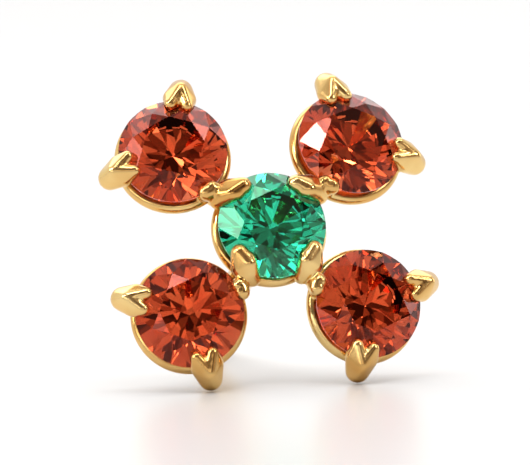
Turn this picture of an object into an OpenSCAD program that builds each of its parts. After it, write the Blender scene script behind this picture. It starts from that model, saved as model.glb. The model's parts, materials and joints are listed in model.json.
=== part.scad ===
// Flower stud earring. Four round stones lie as petals about a fifth one, in a soldered
// claw setting with a straight ear post behind. It rests on its two lower claws and the
// post's tip, so the flower leans back. Millimetres, +Z up, the flower faces -Y, and the
// origin is under the middle of the whole piece.

/* [Stones] */
// Diameter of every stone
stone_d = 3.0; // [2.9, 3.0]
// Space between the girdles of the middle stone and a petal stone
petal_gap = 0.4; // [0.36:0.04:0.52]
// Slope of the line from the middle to a petal, so that the flower is wider than tall
petal_slope = 42.8; // [42.2, 42.4, 42.8, 43.2, 43.4, 44.6, 45]
// How far each petal stone turns outward
petal_tilt = 10; // [4:2:12]
// How far the middle stone stands in front of the petal stones
middle_raise = 0.22; // [0.12:0.02:0.28]
// Width of the table as a share of the diameter
table_share = 0.57; // [0.56:0.01:0.62]
// Slope of the crown's main facets, in degrees
crown_angle = 34.5; // [33:0.5:35.5]
// Slope of the pavilion's main facets, in degrees
pavilion_angle = 40.75; // [40.75:0.25:42]

/* [Setting] */
// How far an outer claw reaches past its stone's edge
claw_reach = 0.72; // [0.7:0.02:0.76]
// How far an outer claw laps over its stone
claw_lap = 0.4; // [0.32:0.04:0.4]
// Thickness of the rail's wire
rail_wire = 0.38; // [0.32:0.02:0.4]
// How far the rail lies behind the girdle
rail_depth = 0.55; // [0.5:0.05:0.6]
// How far the prongs meet behind the girdle
foot_depth = 1.75; // [1.65:0.05:1.75]
// How far the bars between the baskets lie behind the girdle
link_depth = 0.95; // [0.9, 0.95, 1.05, 1.1]
// Thickness of those bars
link_d = 0.4; // [0.36:0.02:0.44]

/* [Ear post] */
// Diameter of the ear post
post_d = 0.8; // [0.7:0.05:0.9]
// Whole length of the ear post
post_len = 9.5; // [8.5:0.5:11]
// Diameter of the boss that holds the post
boss_d = 1.8; // [1.6:0.1:2]
// Depth of the post's seat in the boss
seat_depth = 0.5; // [0.4:0.05:0.6]

/* [Hidden] */

// Cut of the stones, as shares of the diameter
girdle_share = 0.032;
kite_foot = 0.497;
star_share = 0.5;
lower_share = 0.77;
girdle_steps = 4;
sector = 45;
half = sector / 2;

// Clearances: the seats are cut a little larger than the stones, and the post's bore too
seat_scale = 1.02;
post_gap = 0.02;

// Each half of a claw is stretched over four balls: its tip over the stone, its shoulder
// beside the stone's edge, the crest along the claw's middle and the apex outside. A row has
// a ball's distance past the girdle's edge, its distance sideways, its height over the
// girdle, its radius and its turn about the stone. A groove between the tips is left open.
// claw_w is an outer claw's width across its shoulders
claw_w = 0.94;
tip_r = 0.17;
shoulder_r = 0.26;
apex_r = 0.34;
outer_claw = [
    [tip_r - claw_lap, 0.19, 0.32, tip_r, 0],
    [0.04, claw_w / 2 - shoulder_r, 0.08, shoulder_r, 0],
    [0.2, 0, 0.26, 0.22, 0],
    [claw_reach - apex_r, 0, -0.14, apex_r, 0]];

// The middle stone's claws lie aslant in the gaps, their outer ends towards the foot of the
// flower. A petal's inner claw stands at that end and laps its stone's edge only
middle_lap = 0.44;
middle_play = 0.04;
middle_tip_r = 0.25;
middle_shoulder_r = 0.32;
middle_apex_r = 0.24;
middle_claw = [
    [middle_tip_r - middle_lap, 0.13, 0.27, middle_tip_r, -7],
    [0.04, 0.41 - middle_shoulder_r, 0.08, middle_shoulder_r, 3.5],
    [-0.1, 0, 0.3, 0.24, 3.5],
    [petal_gap - middle_play - middle_apex_r, 0, -0.06, middle_apex_r, 14]];
inner_lap = 0.16;
inner_play = 0.1;
inner_tip_r = 0.17;
inner_r = 0.22;
inner_claw = [
    [inner_tip_r - inner_lap, 0.1, 0.14, inner_tip_r, 0],
    [0.04, 0.33 - inner_r, 0.08, inner_r, 0],
    [0.1, 0, 0.1, 0.18, 0],
    [petal_gap - inner_play - inner_r, 0, -0.1, inner_r, 0]];

// A claw's shank runs from inside its apex to the foot, the ball where the shanks meet
shank_r = 0.26;
shank_z = -0.2;
outer_shank = 0.18;
inner_shank = -0.04;
heel_r = 0.2;
heel_out = 0.1;
foot_r = 0.36;

// How fast the rail narrows with its depth, so that it stays under the stone
rail_taper = 0.14;

// Where a petal's claws stand, as turns from its own direction and from the one opposite.
// The claws in the lower gaps are turned towards the flower's foot by low_turn more
outer_turn = 60;
inner_turn = 14;
low_turn = 8;

// The boss takes in the middle foot by this much, and the post's end in it is this much
// narrower than the post, all round
boss_lap = 0.1;
boss_len = 0.9;
neck_step = 0.2;

// Sides of the round shapes. The claws' balls are made this much larger, because flat sides
// take some off them
ball_swell = 1.05;
ball_sides = 8;
foot_sides = 14;
rail_sides = 26;
wire_sides = 6;
boss_sides = 32;
post_sides = 64;

stone_r = stone_d / 2;
petal_place = stone_d + petal_gap;
boss_top = -foot_depth + middle_raise + boss_lap;
boss_back = boss_top - boss_len;
post_top = boss_back + seat_depth;
post_r = post_d / 2;
neck_r = post_r - neck_step;
tip_depth = post_len - post_r - post_top;
free_len = tip_depth + boss_back - post_gap;

// Round brilliant of diameter 1, its girdle's middle at the origin and its table up

function polar(r, a, z) = [r * cos(a), r * sin(a), z];

girdle_z = girdle_share / 2;
table_r = table_share / 2;
table_z = girdle_z + (kite_foot - table_r) * tan(crown_angle);
star_r = table_r * cos(half) * (1 - star_share) + star_share / 2;
star_z = girdle_z + (kite_foot - star_r * cos(half)) * tan(crown_angle);
lower_r = (1 - lower_share) / 2;
lower_z = -girdle_z - (kite_foot - lower_r * cos(half)) * tan(pavilion_angle);
culet_z = -girdle_z - kite_foot * tan(pavilion_angle);

// Height over x, y of the plane through three points
function plane_z(a, b, c, x, y) = let (n = cross(b - a, c - a))
    a.z - (n.x * (x - a.x) + n.y * (y - a.y)) / n.z;

// The girdle facets scallop the girdle's edge: its height at angle a, for the facets
// that start at a point of radius r and height z half way between two kites
function girdle_edge(a, r, z, edge_z) = let (m = abs((a + half) % sector - half))
    plane_z(polar(r, half, z), [kite_foot, 0, edge_z], polar(0.5, half, edge_z),
        cos(m) / 2, sin(m) / 2);

ring = 16 * girdle_steps;
top_ring = 24;
low_ring = top_ring + ring;
low_kite = low_ring + ring;

brilliant_points = concat(
    [for (k = [0:7]) polar(table_r, sector * k, table_z)],
    [for (k = [0:7]) polar(star_r, sector * k + half, star_z)],
    [for (k = [0:7]) polar(kite_foot, sector * k, girdle_z)],
    [for (j = [0:ring - 1]) let (a = 360 * j / ring)
        polar(0.5, a, girdle_edge(a, star_r, star_z, girdle_z))],
    [for (j = [0:ring - 1]) let (a = 360 * j / ring)
        polar(0.5, a, girdle_edge(a, lower_r, lower_z, -girdle_z))],
    [for (k = [0:7]) polar(kite_foot, sector * k, -girdle_z)],
    [for (k = [0:7]) polar(lower_r, sector * k + half, lower_z)],
    [[0, 0, culet_z]]);

// Corners of one girdle facet's round edge, from half-sector s of the ring that starts at first
function edge(first, s) = [for (j = [0:girdle_steps]) first + (s * girdle_steps + j) % ring];
function backward(list) = [for (i = [len(list) - 1:-1:0]) list[i]];

brilliant_faces = concat(
    [backward([for (k = [0:7]) k])],
    [for (k = [0:7]) [k, (k + 1) % 8, 8 + k]],
    [for (k = [0:7]) [k, 8 + k, 16 + k, 8 + (k + 7) % 8]],
    [for (k = [0:7]) backward(concat([8 + k, 16 + k], edge(top_ring, 2 * k)))],
    [for (k = [0:7]) let (n = (k + 1) % 8)
        backward(concat([8 + k], edge(top_ring, 2 * k + 1), [16 + n]))],
    [for (j = [0:ring - 1]) let (n = (j + 1) % ring)
        [top_ring + j, top_ring + n, low_ring + n, low_ring + j]],
    [for (k = [0:7]) concat([low_kite + 8 + k, low_kite + k], edge(low_ring, 2 * k))],
    [for (k = [0:7]) let (n = (k + 1) % 8)
        concat([low_kite + 8 + k], edge(low_ring, 2 * k + 1), [low_kite + n])],
    [for (k = [0:7]) [low_kite + 16, low_kite + 8 + (k + 7) % 8, low_kite + k, low_kite + 8 + k]]);

module brilliant() {
    scale(stone_d) polyhedron(brilliant_points, brilliant_faces);
}

// Places. The flower is drawn flat, facing +Z with its top towards +Y, round the point
// between the petals' girdles. A petal's own frame has +X away from the middle.

function petal_angle(i) = [petal_slope, 180 - petal_slope, 180 + petal_slope, -petal_slope][i];
function side(i) = i == 0 || i == 3 ? -1 : 1;
function gap_turn(i) = i > 1 ? side(i) * low_turn : 0;
function turned(p, a) = [p.x * cos(a) - p.y * sin(a), p.x * sin(a) + p.y * cos(a), p.z];
function on_petal(p, i) = turned([petal_place + p.x * cos(petal_tilt) + p.z * sin(petal_tilt),
    p.y, p.z * cos(petal_tilt) - p.x * sin(petal_tilt)], petal_angle(i));

module petal_frame(i) {
    rotate(petal_angle(i)) translate([petal_place, 0, 0]) rotate([0, petal_tilt, 0]) children();
}

module middle_frame() {
    translate([0, 0, middle_raise]) children();
}

// The balls of a claw's half, each a centre and a radius, for a claw that points along +X.
// way is -1 or 1, for the half on either side, and hand the side of the flower
function claw_half(claw, way, hand) = [for (b = claw)
    [turned([stone_r + b[0], way * b[1], b[2]], hand * b[4]), b[3]]];
function shank(top) = [
    [[stone_r + top, 0, shank_z], shank_r],
    [[heel_out, 0, -foot_depth], heel_r]];

// Distance of a claw's shank from its stone's axis, at a depth behind the girdle
function shank_place(top, z) = let (s = shank(top))
    lookup(z, [[-s[0][0].z, s[0][0].x], [-s[1][0].z, s[1][0].x]]);

// The middle basket has a claw towards each petal. A petal has two outer claws, and an
// inner one that stands beside the middle basket's claw
function middle_angle(i) = petal_angle(i) + gap_turn(i);
function claw_angles(i) = [outer_turn, -outer_turn, 180 - side(i) * inner_turn - gap_turn(i)];
function petal_claws() = [outer_claw, outer_claw, inner_claw];
function petal_shanks() = [outer_shank, outer_shank, inner_shank];

// Rest. The lower claws' apex balls and the post's round tip touch the ground together.
left_foot = on_petal(turned(claw_half(outer_claw, 1, 1)[3][0], outer_turn), 2);
foot_span = norm([left_foot.y, tip_depth + left_foot.z]);
lean = atan2(-left_foot.y, tip_depth + left_foot.z) + asin((apex_r - post_r) / foot_span);
flower_height = post_r + tip_depth * sin(lean);

function depth(p) = p.y * sin(lean) - p.z * cos(lean);
front = min([for (i = [0:3]) for (c = [0:2]) for (way = [-1, 1])
    for (b = claw_half(petal_claws()[c], way, 1))
        depth(on_petal(turned(b[0], claw_angles(i)[c]), i)) - b[1]]);
back = tip_depth * cos(lean) + post_r;

module resting() {
    translate([0, -(front + back) / 2, flower_height]) rotate([90 - lean, 0, 0]) children();
}

// Parts of the setting

module stretched(balls) {
    hull() {
        for (b = balls) {
            translate(b[0]) sphere(r = b[1] * ball_swell, $fn = ball_sides);
        }
    }
}

module prong(angle, claw, top, hand) {
    rotate(angle) {
        for (way = [-1, 1]) {
            stretched(claw_half(claw, way, hand));
        }
        stretched(shank(top));
    }
}

module rail() {
    translate([0, 0, -rail_depth]) rotate_extrude($fn = rail_sides)
        translate([stone_r - rail_depth * rail_taper, 0]) circle(d = rail_wire, $fn = wire_sides);
}

module foot() {
    translate([0, 0, -foot_depth]) sphere(r = foot_r, $fn = foot_sides);
}

module petal_basket(i) {
    petal_frame(i) {
        rail();
        foot();
        for (c = [0:2]) {
            prong(claw_angles(i)[c], petal_claws()[c], petal_shanks()[c], 1);
        }
    }
}

module middle_basket() {
    middle_frame() {
        rail();
        foot();
        for (i = [0:3]) {
            prong(middle_angle(i), middle_claw, inner_shank, side(i));
        }
    }
}

// A bar between a petal's inner shank and the shank of the middle basket beside it
module link(i) {
    place = shank_place(inner_shank, link_depth);
    inner = turned([place, 0, middle_raise - link_depth], middle_angle(i));
    outer = on_petal(turned([place, 0, -link_depth], claw_angles(i)[2]), i);
    stretched([[inner, link_d / 2], [outer, link_d / 2]]);
}

module boss() {
    translate([0, 0, boss_back]) cylinder(d = boss_d, h = boss_len, $fn = boss_sides);
}

// The bore starts well behind the boss, so that the cut is clean
module post_seat() {
    translate([0, 0, boss_back - boss_len])
        cylinder(r = neck_r + post_gap, h = boss_len + seat_depth + post_gap, $fn = boss_sides);
}

// The pieces

module setting() {
    color("goldenrod") resting() difference() {
        union() {
            middle_basket();
            boss();
            for (i = [0:3]) {
                petal_basket(i);
                link(i);
            }
        }
        post_seat();
        middle_frame() scale(seat_scale) brilliant();
        for (i = [0:3]) {
            petal_frame(i) scale(seat_scale) brilliant();
        }
    }
}

module ear_post() {
    color("gold") resting() translate([0, 0, -tip_depth]) rotate_extrude($fn = post_sides) union() {
        square([neck_r, post_len - post_r]);
        square([post_r, free_len]);
        intersection() {
            circle(r = post_r, $fn = post_sides);
            translate([0, -post_r]) square([post_r, 2 * post_r]);
        }
    }
}

module emerald() {
    color("seagreen") resting() middle_frame() brilliant();
}

module garnet(i) {
    color("firebrick") resting() petal_frame(i) brilliant();
}

setting();
ear_post();
emerald();
garnet(0);  // garnet_upper_right
garnet(1);  // garnet_upper_left
garnet(2);  // garnet_lower_left
garnet(3);  // garnet_lower_right
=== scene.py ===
import json
import math

import bmesh
import bpy
from mathutils import Matrix, Vector

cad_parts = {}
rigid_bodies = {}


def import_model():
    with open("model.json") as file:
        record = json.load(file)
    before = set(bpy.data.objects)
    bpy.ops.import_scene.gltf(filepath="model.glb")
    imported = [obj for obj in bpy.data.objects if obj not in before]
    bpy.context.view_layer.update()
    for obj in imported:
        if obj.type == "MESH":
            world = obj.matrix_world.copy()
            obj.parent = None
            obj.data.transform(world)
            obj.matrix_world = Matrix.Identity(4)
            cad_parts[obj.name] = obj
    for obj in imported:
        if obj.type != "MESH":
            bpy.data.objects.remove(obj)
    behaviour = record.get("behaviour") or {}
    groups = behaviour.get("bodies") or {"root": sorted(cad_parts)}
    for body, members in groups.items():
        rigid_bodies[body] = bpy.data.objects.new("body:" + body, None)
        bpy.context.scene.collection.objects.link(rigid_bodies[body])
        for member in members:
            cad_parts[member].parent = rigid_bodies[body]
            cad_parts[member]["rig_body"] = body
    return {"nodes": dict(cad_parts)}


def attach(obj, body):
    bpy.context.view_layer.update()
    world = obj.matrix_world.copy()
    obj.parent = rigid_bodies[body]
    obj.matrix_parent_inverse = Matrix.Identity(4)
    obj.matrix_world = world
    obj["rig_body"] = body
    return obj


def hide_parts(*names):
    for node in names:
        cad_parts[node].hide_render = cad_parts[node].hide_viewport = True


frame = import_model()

for item in [o for o in bpy.data.objects if "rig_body" not in o and not o.name.startswith("body:")]:
    bpy.data.objects.remove(item)  # the startup file's own cube, lamp and camera
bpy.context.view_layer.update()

mmPerMetre = 1000.0  # the pieces are built in millimetres and brought to metres at the end
nodes = frame["nodes"]


# Shared helpers

def linear(hexColour):
    # sRGB hex to Blender's linear colour
    parts = [int(hexColour[i:i + 2], 16) / 255 for i in (1, 3, 5)]
    return (*[p / 12.92 if p <= 0.04045 else ((p + 0.055) / 1.055) ** 2.4 for p in parts], 1.0)


def perMm(millimetres):
    # texture scale for a pattern of this size, with object coordinates in metres
    return mmPerMetre / millimetres


def addNode(tree, kind, inputs=None, stops=None, **settings):
    node = tree.nodes.new(kind)
    for name, value in settings.items():
        setattr(node, name, value)
    for name, value in (inputs or {}).items():
        socket = node.inputs[name]
        if isinstance(value, bpy.types.NodeSocket):
            tree.links.new(value, socket)
        else:
            socket.default_value = value
    for i, (place, colour) in enumerate(stops or []):
        if i >= len(node.color_ramp.elements):
            node.color_ramp.elements.new(place)
        node.color_ramp.elements[i].position = place
        node.color_ramp.elements[i].color = colour
    return node


def newMaterial(name):
    material = bpy.data.materials.new(name)
    material.use_nodes = True
    tree = material.node_tree
    tree.nodes.clear()
    out = addNode(tree, "ShaderNodeOutputMaterial")
    place = addNode(tree, "ShaderNodeTexCoord").outputs["Object"]
    return material, tree, out, place


# Materials

noiseLow, noiseHigh = 0.35, 0.65  # nearly all of a noise texture's values lie between these

goldLook = {
    "light": "#EACA88", "deep": "#D6A55D",  # 14k yellow gold, a paler and a deeper tone that a slow noise mixes at random over the piece
    "toneMm": 1.8,  # how far apart the slow changes of tone on a cast piece lie
    "roughness": (0.14, 0.26),  # buffed bright, and where the buff didn't reach
    "wipeMm": 0.5, "wipeBend": 0.6,  # the buff's marks are finer, and drawn this coarse so that they show
    "peelMm": 0.22, "peelHeightMm": 0.0012, "peelStrength": 0.35,  # the cast skin's faint waves
}


def polishedGold():
    # cast 14k yellow gold, buffed: warm sharp reflections, softer where the buff didn't reach
    look = goldLook
    material, tree, out, place = newMaterial("polished14kYellowGold")
    tone = addNode(tree, "ShaderNodeTexNoise", {"Vector": place, "Scale": perMm(look["toneMm"]), "Detail": 3.0})
    colour = addNode(tree, "ShaderNodeValToRGB", {"Fac": tone.outputs["Fac"]},
                     stops=[(noiseLow, linear(look["deep"])), (noiseHigh, linear(look["light"]))])
    wipe = addNode(tree, "ShaderNodeTexNoise", {"Vector": place, "Scale": perMm(look["wipeMm"]), "Detail": 5.0,
                                                "Distortion": look["wipeBend"]})
    rough = addNode(tree, "ShaderNodeMapRange", {
        "Value": wipe.outputs["Fac"], "From Min": noiseLow, "From Max": noiseHigh,
        "To Min": look["roughness"][0], "To Max": look["roughness"][1]})
    peel = addNode(tree, "ShaderNodeTexNoise", {"Vector": place, "Scale": perMm(look["peelMm"]), "Detail": 2.0})
    bump = addNode(tree, "ShaderNodeBump", {"Height": peel.outputs["Fac"], "Strength": look["peelStrength"],
                                            "Distance": look["peelHeightMm"] / mmPerMetre})
    shader = addNode(tree, "ShaderNodeBsdfPrincipled", {
        "Base Color": colour.outputs["Color"], "Metallic": 1.0, "Roughness": rough.outputs["Result"],
        "Normal": bump.outputs["Normal"]})
    tree.links.new(shader.outputs["BSDF"], out.inputs["Surface"])
    return material


# clear stones, cut and polished: light and deep are the slow zones of colour in the crystal, tint and density what the
# light loses on its way through per metre. The IOR is above the real 1.76 and 1.58, and the sheen off the outside is
# held back, which gives the lively facets without a milky veil; the gloss is the white glare of the key lamp
garnetLook = {
    "name": "facetedGarnet", "light": "#FACE9E", "deep": "#EC9E7C",
    "zoneMm": 1.1, "ior": 2.1,
    "tint": "#F4A672", "density": 760.0, "sheen": "#BC6050", "gloss": 0.12, "glossRoughness": 0.02,
}
emeraldLook = {
    "name": "facetedEmerald", "light": "#D8FCEA", "deep": "#ACE8CA",
    "zoneMm": 0.9, "ior": 2.05,
    "tint": "#30F5E7", "density": 900.0, "sheen": "#90E0B4", "gloss": 0.12, "glossRoughness": 0.02,
}


def facetedStone(look):
    # a clear stone with flat polished facets: bright and dark patches that the far facets throw back
    material, tree, out, place = newMaterial(look["name"])
    zone = addNode(tree, "ShaderNodeTexNoise", {"Vector": place, "Scale": perMm(look["zoneMm"]), "Detail": 2.0})
    colour = addNode(tree, "ShaderNodeValToRGB", {"Fac": zone.outputs["Fac"]},
                     stops=[(noiseLow, linear(look["deep"])), (noiseHigh, linear(look["light"]))])
    shader = addNode(tree, "ShaderNodeBsdfPrincipled", {
        "Base Color": colour.outputs["Color"], "Roughness": 0.0, "IOR": look["ior"], "Transmission Weight": 1.0,
        "Specular Tint": linear(look["sheen"]), "Coat Weight": look["gloss"],
        "Coat Roughness": look["glossRoughness"]})
    depth = addNode(tree, "ShaderNodeVolumeAbsorption", {"Color": linear(look["tint"]), "Density": look["density"]})
    tree.links.new(shader.outputs["BSDF"], out.inputs["Surface"])
    tree.links.new(depth.outputs["Volume"], out.inputs["Volume"])
    return material


gold = polishedGold()
garnet = facetedStone(garnetLook)
emerald = facetedStone(emeraldLook)
print("materials made")


# Setting

setting = {
    # a claw: two tips over the stone with a groove between them, a shoulder at each side, a crest and an apex. Lap is
    # how far the tips reach over the rim and reach how far the apex stands out. R, Z, Out and Turn are a ball's radius,
    # its height over the girdle, its distance past the rim and its turn about the stone, in mm and degrees
    "shoulderOut": 0.04, "shoulderZ": 0.08,
    "outer": {"lap": 0.4, "reach": 0.715, "shankOut": 0.18, "wide": 0.94, "tipR": 0.17, "tipZ": 0.32, "tipApart": 0.23,
              "shoulderR": 0.26, "crestR": 0.2, "crestZ": 0.26, "crestOut": 0.27, "apexR": 0.34, "apexZ": -0.14,
              "tipTurn": 0, "apexTurn": 0},
    # the middle stone's claws lie aslant in the gaps, and the petals' inner ones only touch their stones' rims
    "middle": {"lap": 0.44, "reach": 0.36, "shankOut": -0.04, "wide": 0.82, "tipR": 0.25, "tipZ": 0.27,
               "tipApart": 0.13, "shoulderR": 0.32, "crestR": 0.24, "crestZ": 0.3, "crestOut": -0.1, "apexR": 0.24,
               "apexZ": -0.06, "tipTurn": -7, "apexTurn": 14},
    "inner": {"lap": 0.16, "reach": 0.3, "shankOut": -0.04, "wide": 0.66, "tipR": 0.17, "tipZ": 0.14, "tipApart": 0.1,
              "shoulderR": 0.22, "crestR": 0.18, "crestZ": 0.1, "crestOut": 0.1, "apexR": 0.22, "apexZ": -0.1,
              "tipTurn": 0, "apexTurn": 0},
    # shanks, rails, feet and bars
    "shankR": 0.26, "shankZ": -0.2, "heelR": 0.2, "heelOut": 0.1,
    "footR": 0.36, "footDepth": 1.75, "railR": 0.19, "railDepth": 0.55, "railTaper": 0.14,
    "linkR": 0.2, "linkDepth": 0.95,
    # where the claws stand, as turns from the petal's direction and from the one opposite, and how much more
    # the ones in the lower gaps turn towards the flower's foot
    "outerTurn": 60, "innerTurn": 14, "lowTurn": 8,
    # boss behind the middle
    "bossR": 0.9, "bossLen": 0.9, "bossLap": 0.1, "bossRound": 0.12, "bossSteps": 48,
    # the fused skin: its grain, how often it is smoothed and the share of its faces that is kept
    "voxel": 0.036, "smooth": 4, "smoothing": 0.5, "keep": 0.58,
    # the stones' seats: the air round a stone, and how near two points of its solid are one
    "seatGap": 0.015, "weld": 0.0001,
}
rimShare = 0.985  # what lies this far out from a stone's axis belongs to its girdle


def stoneFrame(name, towards=None):
    # the stone's own frame in millimetres: origin at the girdle's middle, +Z out of the table
    mesh = nodes[name].data
    tableSide = max(mesh.polygons, key=lambda p: p.area)
    up = tableSide.normal.copy()
    points = [v.co * mmPerMetre for v in mesh.vertices]
    middle = sum(points, Vector()) / len(points)
    spread = [(p - middle) - up * (p - middle).dot(up) for p in points]
    radius = max(s.length for s in spread)
    rim = [p for p, s in zip(points, spread) if s.length > rimShare * radius]
    origin = sum(rim, Vector()) / len(rim)
    radius = max(((p - origin) - up * (p - origin).dot(up)).length for p in points)
    along = (Vector((1, 0, 0)) if towards is None else towards - origin)
    along = (along - up * along.dot(up)).normalized()
    side = up.cross(along)
    turn = Matrix((along, side, up)).transposed().to_4x4()
    return Matrix.Translation(origin) @ turn, radius


def ballPoints(centre, radius, steps=3):
    ball = bmesh.new()
    bmesh.ops.create_icosphere(ball, subdivisions=steps, radius=radius)
    points = [v.co + Vector(centre) for v in ball.verts]
    ball.free()
    return points


def stretch(target, place, balls):
    # a skin stretched over balls, put where the frame says
    points = [target.verts.new(place @ p) for b in balls for p in ballPoints(*b)]
    result = bmesh.ops.convex_hull(target, input=points)
    bmesh.ops.delete(target, geom=[v for v in result["geom_interior"] if v in points], context="VERTS")


def ring(target, place, radius, depth, wire, steps=96, sides=20):
    # a round rail: a wire bent to a circle
    rows = []
    for i in range(steps):
        a = 2 * math.pi * i / steps
        row = []
        for j in range(sides):
            b = 2 * math.pi * j / sides
            r = radius + wire * math.cos(b)
            row.append(target.verts.new(place @ Vector((r * math.cos(a), r * math.sin(a), wire * math.sin(b) - depth))))
        rows.append(row)
    for i in range(steps):
        for j in range(sides):
            target.faces.new((rows[i][j], rows[(i + 1) % steps][j], rows[(i + 1) % steps][(j + 1) % sides],
                              rows[i][(j + 1) % sides]))


def prong(target, place, stoneR, angle, kind, hand=1):
    s, claw = setting, setting[kind]
    turn = place @ Matrix.Rotation(math.radians(angle), 4, "Z")

    def polar(out, aslant, across, z):
        # a point beyond the rim, turned about the stone
        return Matrix.Rotation(math.radians(hand * aslant), 3, "Z") @ Vector((stoneR + out, across, z))

    middleTurn = (claw["tipTurn"] + claw["apexTurn"]) / 2
    side = claw["wide"] / 2 - claw["shoulderR"]
    apex = (polar(claw["reach"] - claw["apexR"], claw["apexTurn"], 0, claw["apexZ"]), claw["apexR"])
    crest = (polar(claw["crestOut"], middleTurn, 0, claw["crestZ"]), claw["crestR"])
    for way in (-1, 1):
        stretch(target, turn, [
            (polar(claw["tipR"] - claw["lap"], claw["tipTurn"], way * claw["tipApart"], claw["tipZ"]), claw["tipR"]),
            (polar(s["shoulderOut"], middleTurn, way * side, s["shoulderZ"]), claw["shoulderR"]),
            crest, apex])
    stretch(target, turn, [((stoneR + claw["shankOut"], 0, s["shankZ"]), s["shankR"]),
                           ((s["heelOut"], 0, -s["footDepth"]), s["heelR"])])


def shankPoint(place, stoneR, angle, kind, depth):
    # the middle of a claw's shank at a depth behind the girdle
    s = setting
    top, low = stoneR + s[kind]["shankOut"], s["heelOut"]
    share = (depth + s["shankZ"]) / (s["footDepth"] + s["shankZ"])
    out = top + (low - top) * share
    return place @ Matrix.Rotation(math.radians(angle), 4, "Z") @ Vector((out, 0, -depth))


def toObject(source, name):
    mesh = bpy.data.meshes.new(name)
    source.to_mesh(mesh)
    source.free()
    piece = bpy.data.objects.new(name, mesh)
    bpy.context.scene.collection.objects.link(piece)
    return piece


def applyModifiers(piece):
    graph = bpy.context.evaluated_depsgraph_get()
    mesh = bpy.data.meshes.new_from_object(piece.evaluated_get(graph))
    old = piece.data
    piece.modifiers.clear()
    piece.data = mesh
    bpy.data.meshes.remove(old)


petals = ["garnet_upper_right", "garnet_upper_left", "garnet_lower_left", "garnet_lower_right"]
middlePlace, stoneR = stoneFrame("emerald")
middlePoint = middlePlace.translation.copy()


def makeSetting():
    s = setting
    body = bmesh.new()
    ringR = stoneR - s["railDepth"] * s["railTaper"]
    for name in petals:
        # a petal's own frame has +X away from the middle
        place, _ = stoneFrame(name, middlePoint)
        place = place @ Matrix.Rotation(math.pi, 4, "Z")
        hand = 1 if name.endswith("left") else -1
        gapTurn = hand * s["lowTurn"] if "lower" in name else 0
        inner = 180 - hand * s["innerTurn"] - gapTurn
        for angle, kind in ((s["outerTurn"], "outer"), (-s["outerTurn"], "outer"), (inner, "inner")):
            prong(body, place, stoneR, angle, kind)
        ring(body, place, ringR, s["railDepth"], s["railR"])
        stretch(body, place, [((0, 0, -s["footDepth"]), s["footR"])])
        # the middle basket's claw towards this petal
        course = middlePlace.inverted() @ place.translation
        facing = math.degrees(math.atan2(course.y, course.x)) + gapTurn
        prong(body, middlePlace, stoneR, facing, "middle", hand)
        a = shankPoint(middlePlace, stoneR, facing, "middle", s["linkDepth"])
        b = shankPoint(place, stoneR, inner, "inner", s["linkDepth"])
        stretch(body, Matrix.Identity(4), [(a, s["linkR"]), (b, s["linkR"])])
    ring(body, middlePlace, ringR, s["railDepth"], s["railR"])
    stretch(body, middlePlace, [((0, 0, -s["footDepth"]), s["footR"])])
    # boss: a short round block with rounded rims
    topZ, rim = s["bossLap"] - s["footDepth"], s["bossR"] - s["bossRound"]
    turns = [2 * math.pi * i / s["bossSteps"] for i in range(s["bossSteps"])]
    stretch(body, middlePlace, [((rim * math.cos(a), rim * math.sin(a), z), s["bossRound"])
                                for a in turns for z in (topZ - s["bossRound"], topZ - s["bossLen"] + s["bossRound"])])
    piece = toObject(body, "claw_setting")
    fuse = piece.modifiers.new("fuse", "REMESH")
    fuse.mode = "VOXEL"
    fuse.voxel_size = s["voxel"]
    soften = piece.modifiers.new("soften", "SMOOTH")
    soften.factor = s["smoothing"]
    soften.iterations = s["smooth"]
    lighten = piece.modifiers.new("lighten", "DECIMATE")
    lighten.ratio = s["keep"]
    applyModifiers(piece)
    print("setting fused:", len(piece.data.polygons), "faces")
    # seats for the stones, cut a hair larger than they are
    for name in ["emerald", *petals]:
        place, radius = stoneFrame(name)
        seat = bmesh.new()
        seat.from_mesh(nodes[name].data)
        bmesh.ops.transform(seat, matrix=Matrix.Scale(mmPerMetre, 4), verts=seat.verts)
        bmesh.ops.remove_doubles(seat, verts=seat.verts, dist=s["weld"])
        grow = 1 + s["seatGap"] / radius
        bmesh.ops.transform(seat, matrix=Matrix.Translation(place.translation) @ Matrix.Scale(grow, 4)
                            @ Matrix.Translation(-place.translation), verts=seat.verts)
        tool = toObject(seat, "seat")
        carve = piece.modifiers.new("seat", "BOOLEAN")
        carve.operation = "DIFFERENCE"
        carve.solver = "MANIFOLD"
        carve.object = tool
        applyModifiers(piece)
        bpy.data.objects.remove(tool)
    piece.data.transform(Matrix.Scale(1 / mmPerMetre, 4))
    for face in piece.data.polygons:
        face.use_smooth = True
    piece.data.materials.clear()
    piece.data.materials.append(gold)
    return piece


clawSetting = makeSetting()
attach(clawSetting, "root")
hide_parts("setting")
print("setting made:", len(clawSetting.data.polygons), "faces")

# The ear post and the stones keep their solids

for name, material in (("ear_post", gold), ("emerald", emerald), *((p, garnet) for p in petals)):
    for slot in nodes[name].material_slots:
        slot.material = material
print("post and stones dressed")


# Studio

studio = {
    "azimuth": -11.0, "elevation": 4.7, "roll": 2.0,  # the photo's view of the flower
    "distance": 250.0, "viewWidth": 14.6, "sensor": 36.0, "aim": (0.0, -3.6, 4.1),  # in mm
    "nearest": 10.0, "farthest": 10000.0,  # what the camera draws, in mm
}


def heading(azimuth, elevation):
    # the direction from the piece towards a lamp or the camera: azimuth 0 is its front, negative its left
    a, e = math.radians(azimuth), math.radians(elevation)
    return Vector((math.sin(a) * math.cos(e), -math.cos(a) * math.cos(e), math.sin(e)))


floorLook = {
    "base": "#D4D4D4", "roughness": (0.22, 0.3), "specular": 0.25,
    "cloudMm": 60.0,  # how far apart the wiped and the duller areas of the sheet lie
    "radius": 1500.0, "drop": 0.01,  # in mm, and a hair under the piece
}


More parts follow.
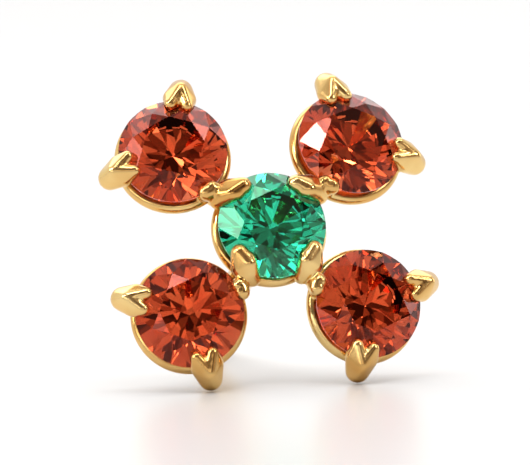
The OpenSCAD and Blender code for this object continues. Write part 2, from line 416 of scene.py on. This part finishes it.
def makeFloor():
    # white acrylic sheet: bright, with a soft reflection under the piece
    look = floorLook
    material, tree, out, place = newMaterial("glossyWhiteAcrylic")
    cloud = addNode(tree, "ShaderNodeTexNoise", {"Vector": place, "Scale": perMm(look["cloudMm"]), "Detail": 2.0})
    rough = addNode(tree, "ShaderNodeMapRange", {
        "Value": cloud.outputs["Fac"], "To Min": look["roughness"][0], "To Max": look["roughness"][1]})
    shader = addNode(tree, "ShaderNodeBsdfPrincipled", {
        "Base Color": linear(look["base"]), "Roughness": rough.outputs["Result"],
        "Specular IOR Level": look["specular"]})
    tree.links.new(shader.outputs["BSDF"], out.inputs["Surface"])
    disc = bmesh.new()
    bmesh.ops.create_circle(disc, cap_ends=True, segments=64, radius=look["radius"] / mmPerMetre)
    floor = toObject(disc, "floor")
    floor.location.z = -look["drop"] / mmPerMetre
    floor.data.materials.append(material)
    return floor


lamps = {
    # direction from the piece in degrees, distance and size in mm, radiance. The lamps that the stones and the gold
    # mirror are flagged off the floor, and the overhead softbox lights the floor alone, for a soft contact shadow
    "top": {"azimuth": 180, "elevation": 78, "distance": 330,
            "size": (420, 420), "radiance": 0.2},
    "key": {"azimuth": -57, "elevation": 42, "distance": 270,
            "size": (28, 36), "radiance": 60.0, "lights": "piece"},
    "side": {"azimuth": -67, "elevation": 24, "distance": 270,
             "size": (50, 60), "radiance": 7.0, "lights": "piece"},
    "fill": {"azimuth": 52, "elevation": 32, "distance": 270,
             "size": (70, 80), "radiance": 9.0, "lights": "piece"},
    "high": {"azimuth": 4, "elevation": 74, "distance": 280,
             "size": (90, 70), "radiance": 5.0},
    "spark1": {"azimuth": -27, "elevation": 62, "distance": 270,
               "size": (50, 50), "radiance": 10.0, "lights": "piece"},
    "spark2": {"azimuth": 60, "elevation": 58, "distance": 270,
               "size": (50, 50), "radiance": 10.0, "lights": "piece"},
    "left": {"azimuth": -84, "elevation": 21, "distance": 230,
             "size": (60, 110), "radiance": 6.0, "lights": "piece"},
    "right": {"azimuth": 104, "elevation": 16, "distance": 240,
              "size": (60, 160), "radiance": 2.0, "lights": "piece"},
    "sweep": {"azimuth": 180, "elevation": 50, "distance": 400,
              "size": (520, 260), "radiance": 1.7},
    "low": {"azimuth": -48, "elevation": 5, "distance": 260,
            "size": (170, 44), "radiance": 2.6, "lights": "piece"},
    "overhead": {"azimuth": 0, "elevation": 82, "distance": 320,
                 "size": (340, 340), "radiance": 2.5, "lights": "floor"},
    "front": {"azimuth": -11, "elevation": 9, "distance": 260,
              "size": (180, 50), "radiance": 1.0, "lights": "piece"},
}
room = {
    "dark": "#403029", "pale": "#B4A092", "back": "#FFFFFF", "strength": 1.0,
    "patchiness": 3.5, "patchEdge": (0.42, 0.58),  # noise scale over the directions, and how sharp the patches end
    "sides": (-0.2, 0.25),  # where the patchy front gives way to the white back, as the direction's Y
}


def makeLamps(floor):
    # a lamp for the piece leaves the floor out, and a lamp for the floor takes in nothing else
    only = {}
    for target, state in (("piece", "EXCLUDE"), ("floor", "INCLUDE")):
        only[target] = bpy.data.collections.new(target + "Lamps")
        only[target].objects.link(floor)
        only[target].collection_objects[0].light_linking.link_state = state
    for name, lamp in lamps.items():
        data = bpy.data.lights.new(name, "AREA")
        data.shape = "RECTANGLE"
        data.size, data.size_y = [edge / mmPerMetre for edge in lamp["size"]]
        data.energy = math.pi * lamp["radiance"] * data.size * data.size_y
        item = bpy.data.objects.new(name, data)
        aim = Vector(studio["aim"])
        item.location = (aim + heading(lamp["azimuth"], lamp["elevation"]) * lamp["distance"]) / mmPerMetre
        item.rotation_euler = (aim / mmPerMetre - item.location).to_track_quat("-Z", "Y").to_euler()
        bpy.context.scene.collection.objects.link(item)
        if "lights" in lamp:
            item.light_linking.receiver_collection = only[lamp["lights"]]


def makeRoom():
    # a white sweep behind the piece, and in front of it the dim patchy room that the stones and the gold mirror
    world = bpy.data.worlds.new("studioRoom")
    bpy.context.scene.world = world
    world.use_nodes = True
    tree = world.node_tree
    tree.nodes.clear()
    sight = addNode(tree, "ShaderNodeTexCoord").outputs["Generated"]
    depth = addNode(tree, "ShaderNodeSeparateXYZ", {"Vector": sight})
    share = addNode(tree, "ShaderNodeMapRange", {"Value": depth.outputs["Y"], "From Min": room["sides"][0],
                                                 "From Max": room["sides"][1]})
    patch = addNode(tree, "ShaderNodeTexNoise", {"Vector": sight, "Scale": room["patchiness"], "Detail": 1.0})
    wall = addNode(tree, "ShaderNodeValToRGB", {"Fac": patch.outputs["Fac"]},
                   stops=[(room["patchEdge"][0], linear(room["dark"])), (room["patchEdge"][1], linear(room["pale"]))])
    front = addNode(tree, "ShaderNodeBackground", {"Color": wall.outputs["Color"], "Strength": room["strength"]})
    back = addNode(tree, "ShaderNodeBackground", {"Color": linear(room["back"]), "Strength": room["strength"]})
    both = addNode(tree, "ShaderNodeMixShader", {0: share.outputs["Result"], 1: front.outputs["Background"],
                                                 2: back.outputs["Background"]})
    addNode(tree, "ShaderNodeOutputWorld", {"Surface": both.outputs["Shader"]})


def makeCamera():
    s = studio
    data = bpy.data.cameras.new("camera")
    camera = bpy.data.objects.new("camera", data)
    bpy.context.scene.collection.objects.link(camera)
    back = heading(s["azimuth"], s["elevation"])
    camera.location = (Vector(s["aim"]) + back * s["distance"]) / mmPerMetre
    look = (-back).to_track_quat("-Z", "Y").to_matrix().to_4x4()
    camera.rotation_euler = (look @ Matrix.Rotation(math.radians(-s["roll"]), 4, "Z")).to_euler()
    data.sensor_width = s["sensor"]
    data.lens = s["distance"] * data.sensor_width / s["viewWidth"]
    data.clip_start, data.clip_end = s["nearest"] / mmPerMetre, s["farthest"] / mmPerMetre
    bpy.context.scene.camera = camera


makeLamps(makeFloor())
makeRoom()
makeCamera()
bpy.context.scene.view_settings.view_transform = "Standard"
print("studio made")
